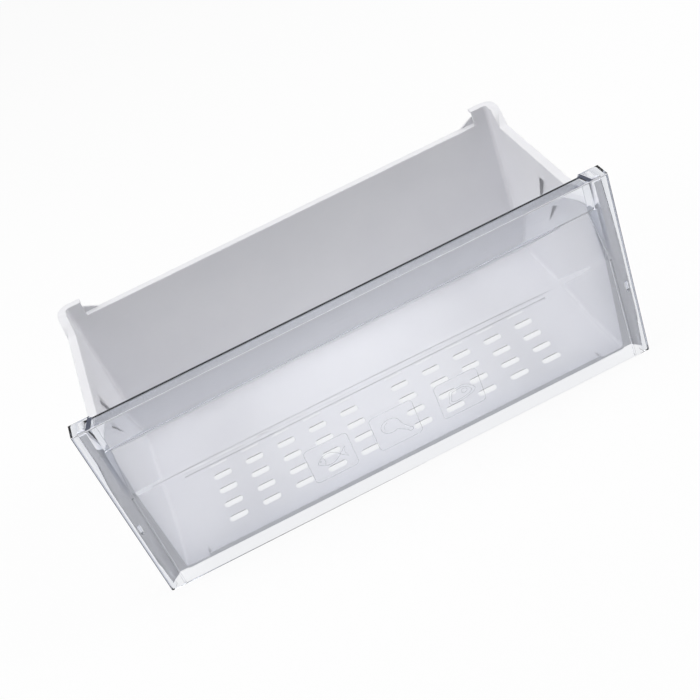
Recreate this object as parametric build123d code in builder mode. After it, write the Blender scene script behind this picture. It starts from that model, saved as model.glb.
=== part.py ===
"""Freezer drawer: a moulded tray with a clear front panel clipped onto its front tongues.

Millimetres. +Z is up, the front faces -Y, and X runs along the drawer's width.
The origin is the middle of the underside of the bounding box.
"""

import os
from math import atan2, radians, tan

from build123d import *

os.makedirs("parts", exist_ok=True)

# Whole drawer
drawer_width = 455.0  # clear panel, across its top
drawer_height = 181.0  # clear panel, foot to top
drawer_depth = 218.0  # front face to the outer edge of the rear rim
fit = 0.3  # gap between the two mouldings where they meet

# Clear panel
pane = 2.5  # sheet thickness
panel_narrowing = 2.0  # each end comes in by this much at the foot
column_width = 15.5  # hollow upright at each end
column_depth = 17.0
column_wall = 1.5  # outer wall of the column
column_edge_radius = 0.8
foot_corner_radius = 1.2
bead_height = 1.3  # upright bead behind the pane that the tray's flange rests on
bead_width = 1.6

# Grip of the panel
grip_depth = 16.0
bar_height = 25.0  # bar in front of the fingers
recess_height = 50.0  # opening under the bar
scoop_rise = 40.0  # height over which the recess wall leans back
scoop_radius = 18.0
ledge_radius = 1.8  # bend from the recess wall to the ledge
cheek = 3.5  # end walls of the recess
cheek_slant = 4.0  # the end walls close in by this much towards the rear
bar_edge_radius = 0.4

# Tray
wall = 2.2
rim_height = 152.5
rim_thickness = 2.5
rim_width = 8.0  # from the inside of the wall to the outer edge of the rim
rim_inset = 9.0  # from the panel's end to the outer edge of the side rim
floor_height = 15.0  # upper side of the floor
wall_draft = 2.5  # degrees
corner_radius = 3.5  # inside, between the side and rear walls
rim_edge_radius = 0.9
floor_radius = 3.0  # inside, between the floor and the walls

# Raised rear corners of the rim
horn_rise = 14.5
horn_width = 14.5  # along the rear wall
horn_run = 13.0  # along the side wall, level part
horn_slope = 10.0  # along the side wall, sloping part
gusset_reach = 12.0
gusset_rise = 6.0
gusset_thickness = 2.0

# Front tongues of the tray
tongue_top = 177.0
tongue_foot = 5.0
step_drop = 6.0  # the stepped side wall starts this far below the recess

# Wedge-shaped tilt stops pressed out of the side walls, measured from the front face and the foot
stop_top = 134.6  # ledge that slides along under the freezer's guide
stop_front = 41.0  # ends of the ledge
stop_rear = 112.0
stop_bulge = 5.0  # how far the ledge stands out at its rear end
stop_foot = 95.0
stop_foot_place = 126.0

# Drain slots in the floor
slot_length = 17.0
slot_width = 7.5
slot_radius = 3.0
slot_pitch = 31.2
slot_columns = 5  # in each half
slot_middle = 51.0  # between the two inner columns
slot_rows = 4
slot_row_pitch = 20.0
slot_front_row = 33.0  # from the front face

# Shallow groove behind the slots, with one narrow slit for each column
groove_length = 366.0
groove_width = 5.0
groove_depth = 0.8
groove_place = 110.5  # from the front face
slit_width = 2.0

# Low lip along the front edge of the floor, with a three-cornered gusset at each end
lip_length = 367.0
lip_rise = 2.0
lip_thickness = 1.5
lip_gusset_depth = 13.0

# Snap catches of the panel
catch_height = 10.0
catch_place = 71.0  # above the foot
catch_thickness = 2.4
catch_nose = 1.2
catch_head = 3.0

# Places worked out from the sizes above
front = -drawer_depth / 2
back = drawer_depth / 2
pane_back = front + pane
tray_front = pane_back + fit
flange_front = pane_back + bead_height + fit
half_width = drawer_width / 2
recess_half = half_width - column_width
rim_half = half_width - rim_inset
floor_under = floor_height - wall
bar_foot = drawer_height - bar_height
sill = bar_foot - recess_height
grip_run = grip_depth - pane
lean = atan2(grip_run, scoop_rise)
bend = scoop_radius * tan(lean / 2)
shoulder = front + grip_depth + fit
tongue_inner = recess_half + cheek + fit
step_foot = sill - step_drop
horn_top = rim_height + horn_rise
horn_front = back - rim_width - horn_run
horn_foot = horn_front - horn_slope
horn_inner = rim_half - rim_width - horn_width
catch_x = (tongue_inner + half_width - column_wall - fit) / 2
catch_rear = flange_front + wall + fit
slot_centre = front + slot_front_row + (slot_rows - 1) * slot_row_pitch / 2
slot_group = slot_middle / 2 + (slot_columns - 1) * slot_pitch / 2


def inside_half(height):
    """Half of the tray's inside width at a height."""
    return rim_half - rim_width - (rim_height - height) * tan(radians(wall_draft))


def inside_back(height):
    """Inner face of the tray's rear wall at a height."""
    return back - rim_width - (rim_height - height) * tan(radians(wall_draft))


def panel_half(height):
    """Half of the clear panel's width at a height."""
    return half_width - panel_narrowing * (1 - height / drawer_height)


def upright(place):
    """Plane across the drawer at a distance along Y, with X to the right and Z up."""
    return Plane.XZ.offset(-place)


def scoop_points(behind, top):
    """Profile of the recess wall's middle line, moved back at right angles to the wall."""
    drop = behind * tan(lean / 2)
    near = front + pane / 2 + behind
    far = near + grip_run
    foot = sill - 2 * bend - behind
    return [(near, foot), (near, sill - drop), (far, sill + scoop_rise - drop), (far, top)]


def tray_outline(height, grow, level):
    """Plan of the tray at a height, grown outwards from its inside faces and drawn at a level.

    It runs on in front of the drawer, where the finished tray is cut off square.
    """
    width = 2 * (inside_half(height) + grow)
    rear = inside_back(height) + grow
    start = front - drawer_depth / 4
    with BuildSketch(Plane.XY.offset(level)) as outline:
        with Locations((0, (start + rear) / 2)):
            Rectangle(width, rear - start)
        fillet(outline.vertices().group_by(Axis.Y)[-1], corner_radius + grow)
    return outline.sketch


def rim_plan(grow, level=0.0):
    """Plan of the tray at the rim, grown outwards from its inside faces."""
    return tray_outline(rim_height, grow, level)


def tub(grow, foot, top):
    """Tapered form of the tray, grown outwards from its inside faces, with a rounded floor."""
    with BuildPart() as form:
        loft(sections=[tray_outline(foot, grow, foot), tray_outline(top, grow, top)], ruled=True)
        fillet(form.edges().group_by(Axis.Z)[0], floor_radius + grow)
    return form.part


def grip_plan(end):
    """Plan of the grip: half its length at the front face, less the slant of its ends at the rear."""
    with BuildSketch() as plan:
        with BuildLine():
            Polyline(
                (-end, front),
                (end, front),
                (end - cheek_slant, front + grip_depth),
                (cheek_slant - end, front + grip_depth),
                close=True,
            )
        make_face()
    return plan.sketch


def stop_wedge(skin):
    """Tilt stop on the +X wall, inside a skin: it grows outwards to the rear end of its ledge."""
    tip = Vector(inside_half(stop_top), front + stop_front, stop_top)
    peak = Vector(inside_half(stop_top) + stop_bulge, front + stop_rear, stop_top)
    foot = Vector(inside_half(stop_foot), front + stop_foot_place, stop_foot)
    face = Plane(origin=foot + Vector(skin, 0, 0), z_dir=(peak - foot).cross(tip - foot))
    with BuildPart() as wedge:
        with BuildSketch(Plane.YZ.offset(inside_half(floor_height))):
            with BuildLine():
                Polyline((foot.Y, foot.Z), (peak.Y, peak.Z), (tip.Y, tip.Z), close=True)
            make_face()
            if skin > 0:
                offset(amount=skin, kind=Kind.INTERSECTION)
        extrude(amount=rim_half)
        split(bisect_by=face, keep=Keep.BOTTOM)
    return wedge.part


# Room that the panel's grip takes up between the side walls
with BuildPart() as grip_room:
    with BuildSketch(Plane.YZ):
        with BuildLine():
            edge = FilletPolyline(
                *scoop_points(pane / 2 + fit, 2 * drawer_height),
                radius=scoop_radius,
            )
            Polyline(edge @ 1, (2 * front, 2 * drawer_height), (2 * front, (edge @ 0).Y), edge @ 0)
        make_face()
    extrude(amount=tongue_inner, both=True)

# Inside of the tray
with BuildPart() as inside:
    add(tub(0, floor_height, rim_height + wall))

# Walls of the raised rear corners
with BuildPart() as horn_walls:
    with BuildSketch(Plane.YZ):
        with BuildLine():
            Polyline(
                (back, rim_height - rim_thickness),
                (back, horn_top),
                (horn_front, horn_top),
                (horn_foot, rim_height),
                (horn_foot, rim_height - rim_thickness),
                close=True,
            )
        make_face()
    extrude(amount=half_width, both=True)
    extrude(rim_plan(wall), amount=2 * horn_top, mode=Mode.INTERSECT)

# Flange along the top edge of the raised rear corners
with BuildPart() as horn_flanges:
    with BuildSketch(Plane.YZ):
        with BuildLine():
            Polyline(
                (back, horn_top - rim_thickness),
                (back, horn_top),
                (horn_front, horn_top),
                (horn_foot, rim_height),
                (horn_foot, rim_height - rim_thickness),
                (horn_front + rim_thickness / 2, horn_top - rim_thickness),
                close=True,
            )
        make_face()
    extrude(amount=half_width, both=True)
    extrude(rim_plan(rim_width), amount=2 * horn_top, mode=Mode.INTERSECT)

# Both raised rear corners, open on the inside and apart in the middle
with BuildPart() as horns:
    add(horn_walls.part)
    add(horn_flanges.part)
    extrude(rim_plan(0), amount=2 * horn_top, mode=Mode.SUBTRACT)
    with Locations((0, back, horn_top)):
        Box(2 * horn_inner, drawer_depth, drawer_height, mode=Mode.SUBTRACT)
    with BuildSketch(upright(back - gusset_thickness)):
        with BuildLine():
            Polyline(
                (horn_inner + wall, rim_height - rim_thickness),
                (horn_inner + wall, rim_height + gusset_rise),
                (horn_inner, rim_height + gusset_rise),
                (horn_inner - gusset_reach, rim_height),
                (horn_inner - gusset_reach, rim_height - rim_thickness),
                close=True,
            )
        make_face()
        mirror(about=Plane.YZ)
    extrude(amount=-gusset_thickness)

# Tray: floor, walls, rim, stops, raised corners and front tongues in one moulding
with BuildPart() as tray:
    add(tub(wall, floor_under, rim_height))
    extrude(rim_plan(rim_width, rim_height - rim_thickness), amount=rim_thickness)
    stop_skin = stop_wedge(wall)
    add(stop_skin)
    add(stop_skin.mirror(Plane.YZ))

    # Tongues that stand in the panel's columns
    with BuildSketch(upright(flange_front)):
        with BuildLine():
            Polyline(
                (inside_half(floor_height), floor_under),
                (recess_half, floor_under),
                (panel_half(tongue_foot) - column_wall - fit, tongue_foot),
                (panel_half(tongue_top) - column_wall - fit, tongue_top),
                (inside_half(floor_height), tongue_top),
                close=True,
            )
        make_face()
        with Locations((catch_x, catch_place)):
            Rectangle(catch_thickness + 2 * fit, catch_height + 2 * fit, mode=Mode.SUBTRACT)
        mirror(about=Plane.YZ)
    extrude(amount=-wall)

    # Step of each side wall around the end of the grip
    with BuildSketch(Plane.XY.offset(step_foot)):
        with BuildLine():
            Polyline(
                (inside_half(floor_height), shoulder + wall),
                (inside_half(floor_height), flange_front),
                (tongue_inner + wall, flange_front),
                (tongue_inner + wall, shoulder + wall),
                close=True,
            )
        make_face()
        mirror(about=Plane.YZ)
    extrude(amount=rim_height - step_foot)

    add(inside.part, mode=Mode.SUBTRACT)
    add(grip_room.part, mode=Mode.SUBTRACT)
    stop_pocket = stop_wedge(0)
    add(stop_pocket, mode=Mode.SUBTRACT)
    add(stop_pocket.mirror(Plane.YZ), mode=Mode.SUBTRACT)
    split(bisect_by=upright(tray_front), keep=Keep.BOTTOM)
    rim_top = tray.faces().filter_by(Axis.Z).sort_by_distance((0, back, rim_height))[0]
    fillet([edge for edge in rim_top.edges() if edge.center().Y > front / 2], rim_edge_radius)
    add(horns.part)

    # Lip along the front edge of the floor
    with BuildSketch(Plane.YZ.offset(-lip_length / 2)):
        with BuildLine():
            Polyline(
                (tray_front, floor_under),
                (tray_front + lip_thickness, floor_under),
                (tray_front + lip_thickness, floor_height + lip_rise),
                (tray_front, floor_height + lip_rise),
                close=True,
            )
        make_face()
    extrude(amount=lip_length)
    for side in (-1, 1):
        end = side * (lip_length - lip_thickness) / 2
        with BuildSketch(Plane.YZ.offset(end)):
            with BuildLine():
                Polyline(
                    (tray_front, floor_under),
                    (tray_front + lip_gusset_depth, floor_under),
                    (tray_front + lip_gusset_depth, floor_height),
                    (tray_front, floor_height + lip_rise),
                    close=True,
                )
            make_face()
        extrude(amount=lip_thickness / 2, both=True)

    # Drain slots, and the groove with its slits
    with BuildSketch(Plane.XY.offset(floor_height)):
        for side in (-1, 1):
            with Locations((side * slot_group, slot_centre)):
                with GridLocations(slot_pitch, slot_row_pitch, slot_columns, slot_rows):
                    RectangleRounded(slot_length, slot_width, slot_radius)
            with Locations((side * slot_group, front + groove_place)):
                with GridLocations(slot_pitch, slot_row_pitch, slot_columns, 1):
                    Rectangle(slot_length, slit_width)
    extrude(amount=-2 * wall, mode=Mode.SUBTRACT)
    with BuildSketch(Plane.XY.offset(floor_height)):
        with Locations((0, front + groove_place)):
            Rectangle(groove_length, groove_width)
    extrude(amount=-groove_depth, mode=Mode.SUBTRACT)

# Wall of the finger recess and the ledge above it
with BuildPart() as grip_sheet:
    with BuildSketch(Plane.YZ):
        with BuildLine():
            FilletPolyline(
                *scoop_points(0, drawer_height - pane / 2),
                (front + pane / 2, drawer_height - pane / 2),
                radius=[scoop_radius, scoop_radius, ledge_radius],
            )
        trace(line_width=pane)
    extrude(amount=half_width, both=True)
    extrude(grip_plan(recess_half + cheek), amount=drawer_height, mode=Mode.INTERSECT)

# End walls of the finger recess
with BuildPart() as grip_cheeks:
    with BuildSketch(Plane.YZ):
        with BuildLine():
            edge = FilletPolyline(
                *scoop_points(0, drawer_height),
                radius=scoop_radius,
            )
            Polyline(edge @ 1, (front, drawer_height), (front, (edge @ 0).Y), edge @ 0)
        make_face()
    extrude(amount=half_width, both=True)
    extrude(grip_plan(recess_half + cheek), amount=drawer_height, mode=Mode.INTERSECT)
    extrude(grip_plan(recess_half), amount=drawer_height, mode=Mode.SUBTRACT)

# Clear panel: pane, columns and grip in one moulding
with BuildPart() as front_panel:
    with BuildSketch(upright(front)):
        with BuildLine():
            Polyline(
                (-panel_half(0), 0),
                (panel_half(0), 0),
                (half_width, drawer_height),
                (-half_width, drawer_height),
                close=True,
            )
        make_face()
        with Locations((0, (bar_foot + sill - bend) / 2)):
            Rectangle(2 * recess_half, bar_foot - sill + bend, mode=Mode.SUBTRACT)
    extrude(amount=-pane)
    with BuildSketch(upright(front)):
        with BuildLine():
            Polyline(
                (panel_half(0) - column_wall, 0),
                (panel_half(0), 0),
                (half_width, drawer_height),
                (half_width - column_wall, drawer_height),
                close=True,
            )
        make_face()
        mirror(about=Plane.YZ)
    extrude(amount=-column_depth)
    add(grip_sheet.part)
    add(grip_cheeks.part)

    # Tops of the columns, level with the ledge
    with BuildSketch(Plane.XY.offset(drawer_height)):
        with BuildLine():
            Polyline(
                (recess_half + cheek / 2, front + pane / 2),
                (half_width - column_wall / 2, front + pane / 2),
                (half_width - column_wall / 2, front + column_depth),
                (recess_half + cheek / 2 - cheek_slant, front + column_depth),
                close=True,
            )
        make_face()
        mirror(about=Plane.YZ)
    extrude(amount=-pane)

    # Beads behind the pane, in line with the ends of the grip
    with BuildSketch(upright(front)):
        for side in (-1, 1):
            with Locations((side * (recess_half + bead_width / 2), (sill - bend) / 2)):
                Rectangle(bead_width, sill - bend)
    extrude(amount=-pane - bead_height)

    # Snap catches through the tray's tongues
    with BuildSketch(Plane.XY.offset(catch_place - catch_height / 2)):
        with BuildLine():
            Polyline(
                (catch_x - catch_thickness / 2, front + pane / 2),
                (catch_x + catch_thickness / 2, front + pane / 2),
                (catch_x + catch_thickness / 2, catch_rear),
                (catch_x + catch_thickness / 2 + catch_nose, catch_rear),
                (catch_x + catch_thickness / 2, catch_rear + catch_head),
                (catch_x - catch_thickness / 2, catch_rear + catch_head),
                close=True,
            )
        make_face()
        mirror(about=Plane.YZ)
    extrude(amount=catch_height)

    # Rounded edges of the bar and of the columns
    for side in (-1, 1):
        corner = (side * panel_half(0), front + column_depth / 2, 0)
        fillet(front_panel.edges().filter_by(Axis.Y).sort_by_distance(corner)[:1], foot_corner_radius)
    level_edges = front_panel.edges().filter_by(Axis.X)
    fillet(level_edges.sort_by_distance((0, front, bar_foot))[:2], bar_edge_radius)
    front_edges = front_panel.faces().sort_by(Axis.Y)[0].outer_wire().edges()
    sides = front_edges.sort_by(Axis.X)
    fillet([sides[0], sides[-1], front_edges.sort_by(Axis.Z)[-1]], column_edge_radius)

tray.part.label = "tray"
front_panel.part.label = "front_panel"
export_step(tray.part, "parts/tray.step")
export_step(front_panel.part, "parts/front_panel.step")
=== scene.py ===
"""Freezer drawer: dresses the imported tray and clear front, and sets up the picture."""

import logging
import math
from dataclasses import dataclass
from enum import Enum

import bmesh
import bpy
from mathutils import Matrix, Vector


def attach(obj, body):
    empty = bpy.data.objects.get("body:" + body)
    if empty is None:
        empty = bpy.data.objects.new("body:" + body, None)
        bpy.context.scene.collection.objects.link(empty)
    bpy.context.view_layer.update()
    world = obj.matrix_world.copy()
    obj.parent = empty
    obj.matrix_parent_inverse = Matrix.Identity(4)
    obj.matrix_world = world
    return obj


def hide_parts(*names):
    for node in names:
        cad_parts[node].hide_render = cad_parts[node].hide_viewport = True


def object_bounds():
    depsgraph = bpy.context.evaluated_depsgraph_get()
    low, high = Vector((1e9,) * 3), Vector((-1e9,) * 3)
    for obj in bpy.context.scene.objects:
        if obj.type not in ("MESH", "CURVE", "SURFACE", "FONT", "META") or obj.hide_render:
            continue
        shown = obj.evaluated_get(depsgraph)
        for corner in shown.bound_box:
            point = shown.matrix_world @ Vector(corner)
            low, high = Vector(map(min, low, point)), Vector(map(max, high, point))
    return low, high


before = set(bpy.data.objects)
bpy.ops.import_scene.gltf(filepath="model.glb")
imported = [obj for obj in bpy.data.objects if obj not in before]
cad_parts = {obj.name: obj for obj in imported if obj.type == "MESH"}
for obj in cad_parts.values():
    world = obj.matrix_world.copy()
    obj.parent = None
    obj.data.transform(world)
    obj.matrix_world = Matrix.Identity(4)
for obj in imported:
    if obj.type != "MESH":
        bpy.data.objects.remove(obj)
CAD_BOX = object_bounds()
LOG = logging.getLogger("freezer_drawer")
MM = 0.001
NOISE_RANGE = (0.3, 0.7)
JOIN_DISTANCE = 0.002 * MM
FLAT_ANGLE = 0.4
FACE_WEIGHT = 100
LINE_SIDES = 8

Point = tuple[float, float]
Place = tuple[float, float, float]
Colour = tuple[float, float, float]
Line = list[Point]


class Food(Enum):
    """Line drawings that can stand in a storage sign."""

    FISH = "fish"
    DRUMSTICK = "drumstick"
    STEAK = "steak"


class PanelFinish(Enum):
    """Finishes on the clear front, painted shade and painted highlight among them, by their place in the
    piece's list.
    """

    CLEAR = 0
    # Painted shade where the sheet is seen on edge.
    PAINTED_EDGE_SHADE = 1
    # Painted highlight along the bar's front edge.
    PAINTED_HIGHLIGHT = 2


def new_material(name: str) -> tuple[bpy.types.Material, bpy.types.NodeTree, bpy.types.Node]:
    """Make an empty node material with one Principled shader.

    Args:
        name: Name of the material.

    Returns:
        The material, its node tree and its Principled node, already joined to the output.
    """
    mat = bpy.data.materials.new(name)
    mat.use_nodes = True
    tree = mat.node_tree
    tree.nodes.clear()
    out = tree.nodes.new("ShaderNodeOutputMaterial")
    shader = tree.nodes.new("ShaderNodeBsdfPrincipled")
    tree.links.new(shader.outputs["BSDF"], out.inputs["Surface"])
    return mat, tree, shader


def output_of(tree: bpy.types.NodeTree) -> bpy.types.Node:
    """Find a material's output node.

    Args:
        tree: Node tree of the material.

    Returns:
        Its output node.
    """
    return next(node for node in tree.nodes if node.type == "OUTPUT_MATERIAL")


def reckon(
    tree: bpy.types.NodeTree, operation: str, *terms: bpy.types.NodeSocket | float
) -> bpy.types.NodeSocket:
    """Add a Math node.

    Args:
        tree: Node tree to add it to.
        operation: Blender's name of the operation.
        terms: Sockets or plain numbers that it works on.

    Returns:
        The socket with the result.
    """
    node = tree.nodes.new("ShaderNodeMath")
    node.operation = operation
    for socket, term in zip(node.inputs, terms):
        if isinstance(term, float):
            socket.default_value = term
        else:
            tree.links.new(term, socket)
    return node.outputs["Value"]


def blend(
    tree: bpy.types.NodeTree, share: bpy.types.NodeSocket, first: Colour, second: Colour
) -> bpy.types.NodeSocket:
    """Blend two colours.

    Args:
        tree: Node tree to work in.
        share: Socket with the second colour's share.
        first: Colour where the share is 0.
        second: Colour where the share is 1.

    Returns:
        The socket with the blended colour.
    """
    node = tree.nodes.new("ShaderNodeMix")
    node.data_type = "RGBA"
    node.inputs["A"].default_value = (*first, 1.0)
    node.inputs["B"].default_value = (*second, 1.0)
    tree.links.new(share, node.inputs["Factor"])
    return node.outputs["Result"]


def object_noise(
    tree: bpy.types.NodeTree, scale: float, detail: float, stretch: Point = (1.0, 1.0)
) -> bpy.types.Node:
    """Add a noise texture on Object coordinates.

    Args:
        tree: Node tree to add it to.
        scale: Cells per metre.
        detail: Octaves of the noise.
        stretch: Factors on the X and Z coordinates, to draw the cells out.

    Returns:
        The noise node.
    """
    place = tree.nodes.new("ShaderNodeTexCoord")
    turn = tree.nodes.new("ShaderNodeMapping")
    turn.inputs["Scale"].default_value = (stretch[0], 1.0, stretch[1])
    noise = tree.nodes.new("ShaderNodeTexNoise")
    noise.inputs["Scale"].default_value = scale
    noise.inputs["Detail"].default_value = detail
    tree.links.new(place.outputs["Object"], turn.inputs["Vector"])
    tree.links.new(turn.outputs["Vector"], noise.inputs["Vector"])
    return noise


def spread(
    tree: bpy.types.NodeTree, source: bpy.types.NodeSocket, low: float, high: float
) -> bpy.types.NodeSocket:
    """Map a noise value to a range.

    Args:
        tree: Node tree to work in.
        source: Socket with the noise value.
        low: Value for the darkest noise.
        high: Value for the brightest noise.

    Returns:
        The socket with the mapped value.
    """
    node = tree.nodes.new("ShaderNodeMapRange")
    node.inputs["From Min"].default_value, node.inputs["From Max"].default_value = NOISE_RANGE
    node.inputs["To Min"].default_value = low
    node.inputs["To Max"].default_value = high
    tree.links.new(source, node.inputs["Value"])
    return node.outputs["Result"]


@dataclass(frozen=True)
class WhiteMoulding:
    """Opaque white plastic with a fine spark-eroded grain and softly rounded edges."""

    pale: Colour = (0.86, 0.86, 0.885)
    shade: Colour = (0.835, 0.835, 0.865)
    mottle: float = 22.0
    grain: float = 1400.0
    grain_depth: float = 0.06
    grain_height: float = 0.2 * MM
    roughness: Point = (0.36, 0.48)
    edge: float = 0.5 * MM

    def build(self) -> bpy.types.Material:
        """Make the material.

        Returns:
            The finished material.
        """
        mat, tree, shader = new_material("white_moulding")
        cloud = object_noise(tree, self.mottle, 3.0)
        tint = blend(tree, spread(tree, cloud.outputs["Fac"], 0.0, 1.0), self.shade, self.pale)
        tree.links.new(tint, shader.inputs["Base Color"])

        grain = object_noise(tree, self.grain, 2.0)
        tree.links.new(spread(tree, grain.outputs["Fac"], *self.roughness), shader.inputs["Roughness"])
        round_edge = tree.nodes.new("ShaderNodeBevel")
        round_edge.samples = 4
        round_edge.inputs["Radius"].default_value = self.edge
        bump = tree.nodes.new("ShaderNodeBump")
        bump.inputs["Strength"].default_value = self.grain_depth
        bump.inputs["Distance"].default_value = self.grain_height
        tree.links.new(grain.outputs["Fac"], bump.inputs["Height"])
        tree.links.new(round_edge.outputs["Normal"], bump.inputs["Normal"])
        tree.links.new(bump.outputs["Normal"], shader.inputs["Normal"])
        return mat


@dataclass(frozen=True)
class ClearMoulding:
    """Clear polished plastic whose edges look dark because light runs a long way inside the sheet; the
    ledge's top has painted shade, a grey tint.
    """

    tint: Colour = (0.993, 0.995, 1.0)
    # Painted shade: grey tint for the ledge's top, which lies within ledge_half across and above ledge_level.
    ledge_painted_shade: Colour = (0.50, 0.51, 0.54)
    ledge_half: float = 0.208
    ledge_level: float = 0.1808
    depth_colour: Colour = (0.30, 0.36, 0.50)
    density: float = 45.0
    ior: float = 1.5
    rub: float = 260.0
    rub_stretch: Point = (0.25, 1.0)
    roughness: Point = (0.0, 0.035)
    flow: float = 16.0
    flow_stretch: Point = (0.3, 1.0)
    flow_depth: float = 0.012
    shadow: Colour = (0.93, 0.94, 0.955)

    def painted_shade_on_ledge(self, tree: bpy.types.NodeTree) -> bpy.types.NodeSocket:
        """Mark the top of the ledge above the finger recess, where the painted shade goes.

        Args:
            tree: Node tree to work in.

        Returns:
            A socket that is 1 on the ledge's top and 0 elsewhere.
        """
        place = tree.nodes.new("ShaderNodeTexCoord")
        split = tree.nodes.new("ShaderNodeSeparateXYZ")
        tree.links.new(place.outputs["Object"], split.inputs["Vector"])
        inside = reckon(tree, "LESS_THAN", reckon(tree, "ABSOLUTE", split.outputs["X"]), self.ledge_half)
        above = reckon(tree, "GREATER_THAN", split.outputs["Z"], self.ledge_level)
        return reckon(tree, "MULTIPLY", inside, above)

    def build(self) -> bpy.types.Material:
        """Make the material.

        Returns:
            The finished material.
        """
        mat, tree, shader = new_material("clear_moulding")
        # Painted shade: the ledge's top is tinted grey for the darkness seen down into the sheet.
        tint = blend(tree, self.painted_shade_on_ledge(tree), self.tint, self.ledge_painted_shade)
        tree.links.new(tint, shader.inputs["Base Color"])
        shader.inputs["IOR"].default_value = self.ior
        shader.inputs["Transmission Weight"].default_value = 1.0

        rub = object_noise(tree, self.rub, 3.0, self.rub_stretch)
        tree.links.new(spread(tree, rub.outputs["Fac"], *self.roughness), shader.inputs["Roughness"])
        flow = object_noise(tree, self.flow, 1.0, self.flow_stretch)
        bump = tree.nodes.new("ShaderNodeBump")
        bump.inputs["Strength"].default_value = self.flow_depth
        bump.inputs["Distance"].default_value = MM
        tree.links.new(flow.outputs["Fac"], bump.inputs["Height"])
        tree.links.new(bump.outputs["Normal"], shader.inputs["Normal"])

        out = output_of(tree)
        ray = tree.nodes.new("ShaderNodeLightPath")
        let_through = tree.nodes.new("ShaderNodeBsdfTransparent")
        let_through.inputs["Color"].default_value = (*self.shadow, 1.0)
        choice = tree.nodes.new("ShaderNodeMixShader")
        tree.links.new(ray.outputs["Is Shadow Ray"], choice.inputs["Fac"])
        tree.links.new(shader.outputs["BSDF"], choice.inputs[1])
        tree.links.new(let_through.outputs["BSDF"], choice.inputs[2])
        tree.links.new(choice.outputs["Shader"], out.inputs["Surface"])
        depth = tree.nodes.new("ShaderNodeVolumeAbsorption")
        depth.inputs["Color"].default_value = (*self.depth_colour, 1.0)
        depth.inputs["Density"].default_value = self.density
        tree.links.new(depth.outputs["Volume"], out.inputs["Volume"])
        return mat


@dataclass(frozen=True)
class PaintedEdgeShade:
    """Painted shade: opaque blue-grey standing in for the dark look of the clear sheet where one looks along
    it and light is caught inside.
    """

    colour: Colour = (0.062, 0.070, 0.105)
    paler_shade: Colour = (0.095, 0.105, 0.145)
    mottle: float = 120.0
    roughness: float = 0.12

    def build(self) -> bpy.types.Material:
        """Make the material.

        Returns:
            The finished material.
        """
        mat, tree, shader = new_material("painted_edge_shade")
        cloud = object_noise(tree, self.mottle, 2.0)
        # Painted shade, mottled at random between two blue-greys.
        tint = blend(tree, spread(tree, cloud.outputs["Fac"], 0.0, 1.0), self.colour, self.paler_shade)
        tree.links.new(tint, shader.inputs["Base Color"])
        shader.inputs["Roughness"].default_value = self.roughness
        return mat


@dataclass(frozen=True)
class PaintedEdgeHighlight:
    """Painted highlight: pale matt line along the bar's front edge, standing in for the light that edge
    catches.
    """

    colour: Colour = (0.80, 0.81, 0.85)
    rub: float = 300.0
    roughness: Point = (0.25, 0.45)

    def build(self) -> bpy.types.Material:
        """Make the material.

        Returns:
            The finished material.
        """
        mat, tree, shader = new_material("painted_edge_highlight")
        # Painted highlight colour.
        shader.inputs["Base Color"].default_value = (*self.colour, 1.0)
        rub = object_noise(tree, self.rub, 2.0)
        tree.links.new(spread(tree, rub.outputs["Fac"], *self.roughness), shader.inputs["Roughness"])
        return mat


@dataclass(frozen=True)
class FrostedLine:
    """Matt raised line of the storage signs on the clear pane."""

    colour: Colour = (0.66, 0.67, 0.72)
    alpha: float = 0.28
    frost: float = 2600.0
    roughness: Point = (0.45, 0.7)

    def build(self) -> bpy.types.Material:
        """Make the material.

        Returns:
            The finished material.
        """
        mat, tree, shader = new_material("frosted_line")
        shader.inputs["Base Color"].default_value = (*self.colour, 1.0)
        shader.inputs["Alpha"].default_value = self.alpha
        frost = object_noise(tree, self.frost, 2.0)
        tree.links.new(spread(tree, frost.outputs["Fac"], *self.roughness), shader.inputs["Roughness"])
        return mat


def dressed_copy(node: str, name: str, material: bpy.types.Material, smooth_below: float) -> bpy.types.Object:
    """Copy a CAD node as a joined mesh with smooth bends and flat faces, to stand in its place.

    Args:
        node: Name of the CAD node.
        name: Name of the new piece.
        material: Finish of the new piece.
        smooth_below: Edges that turn by fewer degrees than this are shaded smooth.

    Returns:
        The new piece, which replaces the CAD node.
    """
    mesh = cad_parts[node].data.copy()
    mesh.name = name
    bm = bmesh.new()
    bm.from_mesh(mesh)
    bmesh.ops.remove_doubles(bm, verts=bm.verts, dist=JOIN_DISTANCE)
    bmesh.ops.dissolve_limit(bm, angle_limit=math.radians(FLAT_ANGLE), verts=bm.verts, edges=bm.edges)
    bm.to_mesh(mesh)
    bm.free()
    mesh.materials.clear()
    mesh.materials.append(material)
    mesh.shade_smooth()
    mesh.set_sharp_from_angle(angle=math.radians(smooth_below))
    piece = bpy.data.objects.new(name, mesh)
    bpy.context.scene.collection.objects.link(piece)
    even = piece.modifiers.new("even_normals", "WEIGHTED_NORMAL")
    even.keep_sharp = True
    even.weight = FACE_WEIGHT
    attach(piece, "root")
    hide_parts(node)
    LOG.info("%s stands for the CAD node %s", name, node)
    return piece


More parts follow.
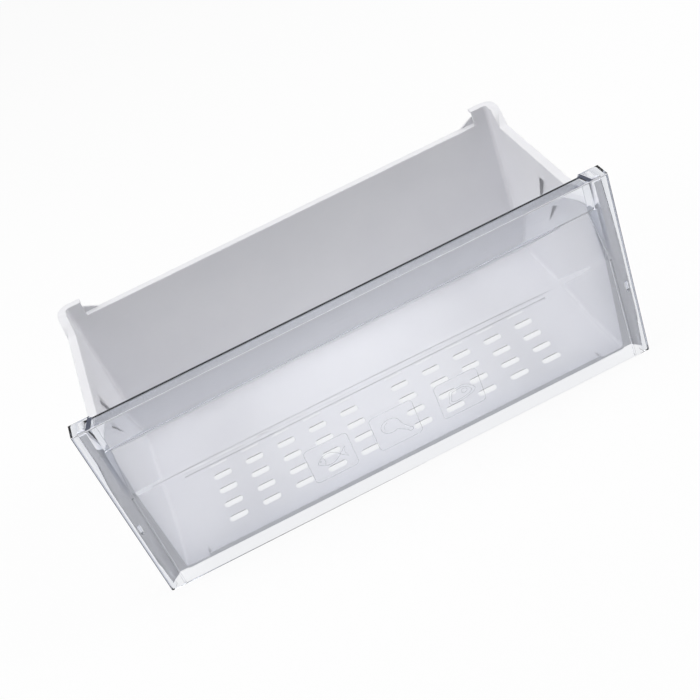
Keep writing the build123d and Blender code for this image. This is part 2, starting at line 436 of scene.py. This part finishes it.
def raised_lines(
    name: str, lines: list[list[Vector]], width: float, material: bpy.types.Material
) -> bpy.types.Object:
    """Make raised lines along paths with Geometry Nodes.

    Args:
        name: Name of the new piece.
        lines: Paths, each a list of points in metres.
        width: Width of a line in metres.
        material: Finish of the lines.

    Returns:
        The new piece, a plain mesh at the origin.
    """
    paths = bpy.data.meshes.new(name + "_paths")
    points: list[Vector] = []
    edges: list[tuple[int, int]] = []
    for line in lines:
        first = len(points)
        points.extend(line)
        edges.extend((i, i + 1) for i in range(first, first + len(line) - 1))
    paths.from_pydata([tuple(p) for p in points], edges, [])

    tree = bpy.data.node_groups.new("raised_line", "GeometryNodeTree")
    face = tree.interface
    face.new_socket("Paths", in_out="INPUT", socket_type="NodeSocketGeometry")
    wide = face.new_socket("Line Width", in_out="INPUT", socket_type="NodeSocketFloat")
    face.new_socket("Lines", in_out="OUTPUT", socket_type="NodeSocketGeometry")
    start = tree.nodes.new("NodeGroupInput")
    end = tree.nodes.new("NodeGroupOutput")
    curve = tree.nodes.new("GeometryNodeMeshToCurve")
    half = reckon(tree, "MULTIPLY", start.outputs["Line Width"], 0.5)
    section = tree.nodes.new("GeometryNodeCurvePrimitiveCircle")
    section.inputs["Resolution"].default_value = LINE_SIDES
    tube = tree.nodes.new("GeometryNodeCurveToMesh")
    tube.inputs["Fill Caps"].default_value = True
    real = tree.nodes.new("GeometryNodeRealizeInstances")
    dress = tree.nodes.new("GeometryNodeSetMaterial")
    dress.inputs["Material"].default_value = material
    join = tree.links.new
    join(start.outputs["Paths"], curve.inputs["Mesh"])
    join(half, section.inputs["Radius"])
    join(curve.outputs["Curve"], tube.inputs["Curve"])
    join(section.outputs["Curve"], tube.inputs["Profile Curve"])
    join(tube.outputs["Mesh"], real.inputs["Geometry"])
    join(real.outputs["Geometry"], dress.inputs["Geometry"])
    join(dress.outputs["Geometry"], end.inputs["Lines"])

    maker = bpy.data.objects.new(name + "_maker", paths)
    bpy.context.scene.collection.objects.link(maker)
    nodes = maker.modifiers.new("raised_line", "NODES")
    nodes.node_group = tree
    nodes[wide.identifier] = width
    shown = maker.evaluated_get(bpy.context.evaluated_depsgraph_get())
    mesh = bpy.data.meshes.new_from_object(shown)
    mesh.name = name
    bpy.data.objects.remove(maker)
    bm = bmesh.new()
    bm.from_mesh(mesh)
    bmesh.ops.recalc_face_normals(bm, faces=bm.faces)
    bm.to_mesh(mesh)
    bm.free()
    mesh.shade_smooth()
    piece = bpy.data.objects.new(name, mesh)
    bpy.context.scene.collection.objects.link(piece)
    return piece


@dataclass
class Tray:
    """White tray with its slotted floor, rim, raised corners and stops, sizes in millimetres."""

    smooth_below: float = 40.0
    floor_under: float = 12.8
    slot_pitch: float = 31.2
    slot_group: float = 87.9
    slot_row_pitch: float = 20.0
    slot_front_row: float = 33.0
    slot_rows: int = 4
    slot_columns: int = 5
    slit_row: float = 110.5
    slot_half: Point = (8.5, 3.75)
    slot_draft: float = 1.9
    reach: float = 0.1

    def draft_slots(self, tray: bpy.types.Object) -> None:
        """Open the drain slots and slits out towards the underside of the floor.

        Args:
            tray: The tray's piece.
        """
        front = CAD_BOX[0][1] / MM
        rows = [self.slot_front_row + self.slot_row_pitch * row for row in range(self.slot_rows)]
        rows.append(self.slit_row)
        moved = 0
        for vertex in tray.data.vertices:
            x, y, z = vertex.co / MM
            if abs(z - self.floor_under) > self.reach / 2:
                continue
            side = math.copysign(1.0, x)
            column = round((side * x - self.slot_group) / self.slot_pitch)
            across = x - side * (self.slot_group + column * self.slot_pitch)
            along = min((y - front - row for row in rows), key=abs)
            in_group = abs(column) <= self.slot_columns // 2
            wide, deep = (half + self.reach for half in self.slot_half)
            if in_group and abs(across) <= wide and abs(along) <= deep:
                vertex.co.x += math.copysign(self.slot_draft * MM, across)
                vertex.co.y += math.copysign(self.slot_draft * MM, along)
                moved += 1
        LOG.info("tray_moulding: %d points of the slots drawn out", moved)

    def build(self, finish: WhiteMoulding) -> bpy.types.Object:
        """Dress the tray.

        Args:
            finish: Finish of the moulding.

        Returns:
            The tray's piece.
        """
        piece = dressed_copy("tray", "tray_moulding", finish.build(), self.smooth_below)
        self.draft_slots(piece)
        return piece


@dataclass
class StorageSigns:
    """Line drawings of frozen goods in square frames on the clear pane, sizes in millimetres."""

    side: float = 39.0
    height: float = 36.0
    spacing: float = 59.0
    level: float = 51.0
    corner: float = 4.0
    line: float = 0.4
    front: float = -109.0

    def frame_line(self) -> Line:
        """Give the rounded square around a drawing.

        Returns:
            Its points about the drawing's middle.
        """
        points: Line = []
        for turn, (sx, sz) in enumerate(((1, 1), (-1, 1), (-1, -1), (1, -1))):
            cx = sx * (self.side / 2 - self.corner)
            cz = sz * (self.height / 2 - self.corner)
            for step in range(7):
                angle = math.radians(90 * turn + 15 * step)
                points.append((cx + self.corner * math.cos(angle), cz + self.corner * math.sin(angle)))
        points.append(points[0])
        return points

    @staticmethod
    def arc(cx: float, cz: float, rx: float, rz: float, begin: float, end: float, steps: int = 24) -> Line:
        """Sample an arc of an ellipse.

        Args:
            cx: Middle, across.
            cz: Middle, up.
            rx: Half width.
            rz: Half height.
            begin: First angle in degrees.
            end: Last angle in degrees.
            steps: Number of chords.

        Returns:
            Points along the arc.
        """
        angles = (math.radians(begin + (end - begin) * i / steps) for i in range(steps + 1))
        return [(cx + rx * math.cos(a), cz + rz * math.sin(a)) for a in angles]

    def drawing(self, food: Food) -> list[Line]:
        """Draw one kind of food in plain lines about the middle of its frame.

        Args:
            food: What to draw.

        Returns:
            The drawing's lines.
        """
        if food is Food.FISH:
            steps = (i / 20 for i in range(21))
            upper = [(-12.0 + 20.0 * t, 6.5 * math.sin(math.pi * t) ** 0.8) for t in steps]
            lower = [(x, -0.85 * z) for x, z in upper]
            tail = [(8.0, 0.0), (14.0, 5.5), (12.2, 0.0), (14.0, -5.5), (8.0, 0.0)]
            gill = self.arc(-9.0, 0.0, 3.6, 5.0, -50, 50, 10)
            return [upper, lower, tail, gill, self.arc(-9.2, 1.4, 0.7, 0.7, 0, 360, 10)]
        if food is Food.DRUMSTICK:
            meat = self.arc(-4.0, 2.5, 8.5, 7.0, 0, 300, 30)
            neck = [meat[-1], (4.5, -6.5), (8.6, -9.6)]
            other = [meat[0], (6.6, -2.0), (10.6, -7.4)]
            knob = self.arc(10.6, -9.6, 2.1, 2.1, -180, 90, 14)
            shine = self.arc(-4.0, 2.5, 5.6, 4.4, 110, 190, 10)
            return [meat, neck, other, knob, shine]
        steak: Line = []
        for a in (2 * math.pi * i / 40 for i in range(41)):
            wide, tall = 11.5 + 2.2 * math.cos(3 * a + 0.6), 8.5 + 1.6 * math.cos(2 * a - 0.5)
            steak.append((wide * math.cos(a), tall * math.sin(a)))
        rim = [(0.78 * x, 0.74 * z) for x, z in steak]
        return [steak, rim, self.arc(4.2, 1.2, 2.6, 2.2, 0, 360, 18)]

    def build(self, finish: FrostedLine) -> bpy.types.Object:
        """Put the signs on the front of the pane.

        Args:
            finish: Finish of the lines.

        Returns:
            The signs' piece.
        """
        lines: list[list[Vector]] = []
        for index, food in enumerate(Food):
            middle = (index - 1) * self.spacing
            for line in [self.frame_line(), *self.drawing(food)]:
                lines.append([Vector((middle + x, self.front, self.level + z)) * MM for x, z in line])
        piece = raised_lines("storage_signs", lines, self.line * MM, finish.build())
        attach(piece, "root")
        LOG.info("storage_signs: %d lines", len(lines))
        return piece


@dataclass
class FrontPanel:
    """Clear front with its columns, grip and storage signs, sizes in millimetres."""

    smooth_below: float = 50.0
    recess_half: float = 212.0
    cheek: float = 3.5
    cheek_slant: float = 4.0
    grip_depth: float = 16.0
    ledge_bend: float = 3.1
    corner_band: float = 4.0
    front_edge: float = 1.0
    corner_turn: float = 0.2
    bend_turn: float = 0.1
    flat_turn: float = 0.99
    reach: float = 0.1

    def cheek_tops(self, bm: bmesh.types.BMesh) -> list[bmesh.types.BMFace]:
        """Cut the tops of the recess's end walls out of the panel's top face, to take painted shade.

        Args:
            bm: Mesh of the panel.

        Returns:
            The faces on top of the two end walls.
        """
        front, top = CAD_BOX[0][1], CAD_BOX[1][2]

        def on_top(face: bmesh.types.BMFace) -> bool:
            """Tell whether a face lies on the panel's top.

            Args:
                face: Face of the panel.

            Returns:
                True for a flat face at the panel's height.
            """
            return face.normal.z > self.flat_turn and face.calc_center_median().z > top - self.reach * MM

        def beside(face: bmesh.types.BMFace) -> float:
            """Measure along the front how far a face lies outside the recess.

            Args:
                face: Face of the panel.

            Returns:
                The distance in millimetres, below 0 within the recess.
            """
            centre = face.calc_center_median()
            run = (centre.y - front) / (self.grip_depth * MM)
            return abs(centre.x) / MM + run * self.cheek_slant - self.recess_half

        for side in (-1, 1):
            for across in (self.recess_half, self.recess_half + self.cheek):
                flat = [face for face in bm.faces if on_top(face)]
                edges = {edge for face in flat for edge in face.edges}
                bmesh.ops.bisect_plane(
                    bm,
                    geom=[*flat, *edges],
                    dist=JOIN_DISTANCE / 2,
                    plane_co=(side * across * MM, front, top),
                    plane_no=(side * self.grip_depth, self.cheek_slant, 0.0),
                )
        return [face for face in bm.faces if on_top(face) and 0.0 < beside(face) < self.cheek]

    def paint_shade_on_edges(self, panel: bpy.types.Object, edge: bpy.types.Material) -> None:
        """Paint shade on the bends and tops where one looks along the sheet, for the dark look of a sheet
        seen on edge.

        Args:
            panel: The panel's piece.
            edge: Painted shade for the sheet's edges.
        """
        panel.data.materials.append(edge)
        bm = bmesh.new()
        bm.from_mesh(panel.data)
        outside = CAD_BOX[1][0] - self.corner_band * MM
        behind = CAD_BOX[0][1] + (self.grip_depth - self.ledge_bend) * MM
        above = CAD_BOX[1][2] - self.ledge_bend * MM
        dark = self.cheek_tops(bm)
        for face in bm.faces:
            centre = face.calc_center_median()
            turned = face.normal.y < -self.corner_turn and abs(face.normal.x) > self.corner_turn
            upright_corner = turned and abs(centre.x) > outside
            bent = face.normal.y > self.bend_turn and face.normal.z > self.bend_turn
            rear_bend = bent and centre.y > behind and centre.z > above
            if upright_corner or rear_bend:
                dark.append(face)
        # Painted shade on the end walls' tops, the upright corners and the rear bend.
        for face in dark:
            face.material_index = PanelFinish.PAINTED_EDGE_SHADE.value
        bm.to_mesh(panel.data)
        bm.free()
        LOG.info("clear_front: %d faces seen on edge", len(dark))

    def paint_edge_highlight(self, panel: bpy.types.Object, highlight: bpy.types.Material) -> None:
        """Paint a highlight on the rounded front edge of the bar's top.

        Args:
            panel: The panel's piece.
            highlight: Painted highlight for that edge.
        """
        panel.data.materials.append(highlight)
        above = CAD_BOX[1][2] - self.front_edge * MM
        count = 0
        for face in panel.data.polygons:
            rounded = face.normal.y < -self.bend_turn and face.normal.z > self.bend_turn
            if rounded and face.center.z > above and abs(face.center.x) < self.recess_half * MM:
                face.material_index = PanelFinish.PAINTED_HIGHLIGHT.value
                count += 1
        LOG.info("clear_front: %d faces of the bar's front edge", count)

    def build(
        self, finish: ClearMoulding, edge: PaintedEdgeShade, highlight: PaintedEdgeHighlight, line: FrostedLine
    ) -> list[bpy.types.Object]:
        """Dress the panel and its signs.

        Args:
            finish: Finish of the clear moulding.
            edge: Painted shade for its sheet seen on edge.
            highlight: Painted highlight on the bar's front edge.
            line: Finish of the signs.

        Returns:
            The panel's pieces.
        """
        panel = dressed_copy("front_panel", "clear_front", finish.build(), self.smooth_below)
        self.paint_shade_on_edges(panel, edge.build())
        self.paint_edge_highlight(panel, highlight.build())
        return [panel, StorageSigns().build(line)]


@dataclass
class Studio:
    """White floor, soft lights and the camera, lengths in metres and angles in degrees."""

    eye: Place = (-0.0732, -0.8924, 0.7043)
    yaw: float = -4.65
    elevation: float = 35.68
    roll: float = -23.74
    lens: float = 64.155
    sensor: float = 36.0
    near: float = 0.01
    floor_size: float = 8.0
    floor_gap: float = 0.3 * MM
    floor_colour: Colour = (0.9, 0.9, 0.9)
    floor_roughness: float = 0.9
    floor_glow: float = 0.93
    sky: float = 0.3
    ceiling: float = 0.28
    ceiling_fade: Point = (0.25, 0.65)
    key_place: Place = (0.0, 0.12, 1.75)
    key_size: Point = (1.2, 0.7)
    key_power: float = 9.5
    side_place: Place = (1.35, 0.0, 1.25)
    side_size: Point = (0.9, 0.9)
    side_power: float = 11.5
    aim: Place = (0.0, 0.0, 0.05)

    def camera(self) -> None:
        """Set the camera at the photograph's angle."""
        yaw, rise, roll = (math.radians(a) for a in (self.yaw, self.elevation, self.roll))
        back = Vector((math.sin(yaw) * math.cos(rise), -math.cos(yaw) * math.cos(rise), math.sin(rise)))
        level = Vector((math.cos(yaw), math.sin(yaw), 0.0))
        tall = back.cross(level)
        right = math.cos(roll) * level + math.sin(roll) * tall
        up = -math.sin(roll) * level + math.cos(roll) * tall
        data = bpy.data.cameras.new("camera")
        data.lens = self.lens
        data.sensor_width = self.sensor
        data.clip_start = self.near
        eye = bpy.data.objects.new("camera", data)
        eye.matrix_world = Matrix.Translation(self.eye) @ Matrix((right, up, back)).transposed().to_4x4()
        bpy.context.scene.collection.objects.link(eye)
        bpy.context.scene.camera = eye

    @staticmethod
    def seen(tree: bpy.types.NodeTree) -> bpy.types.NodeSocket:
        """Tell rays that show the background from rays that light the object.

        Args:
            tree: Node tree to work in.

        Returns:
            A socket that is 1 for camera, glossy and transmission rays.
        """
        ray = tree.nodes.new("ShaderNodeLightPath")
        socket = ray.outputs["Is Camera Ray"]
        for name in ("Is Glossy Ray", "Is Transmission Ray"):
            socket = reckon(tree, "MAXIMUM", socket, ray.outputs[name])
        return socket

    def floor(self) -> None:
        """Lay the pale floor, white to the eye and with the drawer's shadow on it."""
        mat, tree, shader = new_material("floor_white")
        shader.inputs["Base Color"].default_value = (*self.floor_colour, 1.0)
        shader.inputs["Roughness"].default_value = self.floor_roughness
        out = output_of(tree)
        glow = tree.nodes.new("ShaderNodeEmission")
        both = tree.nodes.new("ShaderNodeMixShader")
        tree.links.new(reckon(tree, "MULTIPLY", self.seen(tree), self.floor_glow), both.inputs["Fac"])
        tree.links.new(shader.outputs["BSDF"], both.inputs[1])
        tree.links.new(glow.outputs["Emission"], both.inputs[2])
        tree.links.new(both.outputs["Shader"], out.inputs["Surface"])
        half = self.floor_size / 2
        corners = [(sx * half, sy * half, -self.floor_gap) for sx, sy in ((-1, -1), (1, -1), (1, 1), (-1, 1))]
        mesh = bpy.data.meshes.new("floor")
        mesh.from_pydata(corners, [], [(0, 1, 2, 3)])
        mesh.materials.append(mat)
        ground = bpy.data.objects.new("floor", mesh)
        bpy.context.scene.collection.objects.link(ground)

    def world(self) -> None:
        """Fill the room with even light, and show white behind the floor and a grey ceiling."""
        sky = bpy.data.worlds.new("studio")
        sky.use_nodes = True
        tree = sky.node_tree
        tree.nodes.clear()
        out = tree.nodes.new("ShaderNodeOutputWorld")
        even = tree.nodes.new("ShaderNodeBackground")
        even.inputs["Strength"].default_value = self.sky
        white = tree.nodes.new("ShaderNodeBackground")
        white.inputs["Color"].default_value = (1.0, 1.0, 1.0, 1.0)
        place = tree.nodes.new("ShaderNodeTexCoord")
        split = tree.nodes.new("ShaderNodeSeparateXYZ")
        fade = tree.nodes.new("ShaderNodeMapRange")
        fade.inputs["From Min"].default_value, fade.inputs["From Max"].default_value = self.ceiling_fade
        fade.inputs["To Min"].default_value = 1.0
        fade.inputs["To Max"].default_value = self.ceiling
        tree.links.new(place.outputs["Generated"], split.inputs["Vector"])
        tree.links.new(split.outputs["Z"], fade.inputs["Value"])
        tree.links.new(fade.outputs["Result"], white.inputs["Strength"])
        both = tree.nodes.new("ShaderNodeMixShader")
        tree.links.new(self.seen(tree), both.inputs["Fac"])
        tree.links.new(even.outputs["Background"], both.inputs[1])
        tree.links.new(white.outputs["Background"], both.inputs[2])
        tree.links.new(both.outputs["Shader"], out.inputs["Surface"])
        bpy.context.scene.world = sky

    @staticmethod
    def lamp(name: str, place: Place, aim: Place, size: Point, power: float) -> None:
        """Hang one soft rectangular lamp.

        Args:
            name: Name of the lamp.
            place: Where it hangs.
            aim: Point that it faces.
            size: Width and height of its face.
            power: Power in watts.
        """
        data = bpy.data.lights.new(name, "AREA")
        data.shape = "RECTANGLE"
        data.size, data.size_y = size
        data.energy = power
        lamp = bpy.data.objects.new(name, data)
        lamp.location = place
        lamp.rotation_euler = (Vector(aim) - Vector(place)).to_track_quat("-Z", "Y").to_euler()
        bpy.context.scene.collection.objects.link(lamp)

    def build(self) -> None:
        """Set up the camera, floor, lights and colour."""
        self.camera()
        self.floor()
        self.world()
        self.lamp("key", self.key_place, self.aim, self.key_size, self.key_power)
        for name, side in (("left", -1), ("right", 1)):
            place = (side * self.side_place[0], *self.side_place[1:])
            self.lamp(name, place, self.aim, self.side_size, self.side_power)
        bpy.context.scene.view_settings.view_transform = "Standard"
        LOG.info("studio: floor, lamps and camera")


def main() -> None:
    """Build the drawer's pieces and the studio."""
    logging.basicConfig(level=logging.INFO, format="%(name)s: %(message)s")
    Tray().build(WhiteMoulding())
    FrontPanel().build(ClearMoulding(), PaintedEdgeShade(), PaintedEdgeHighlight(), FrostedLine())
    Studio().build()
    bpy.context.view_layer.update()


if __name__ == "__main__":
    main()
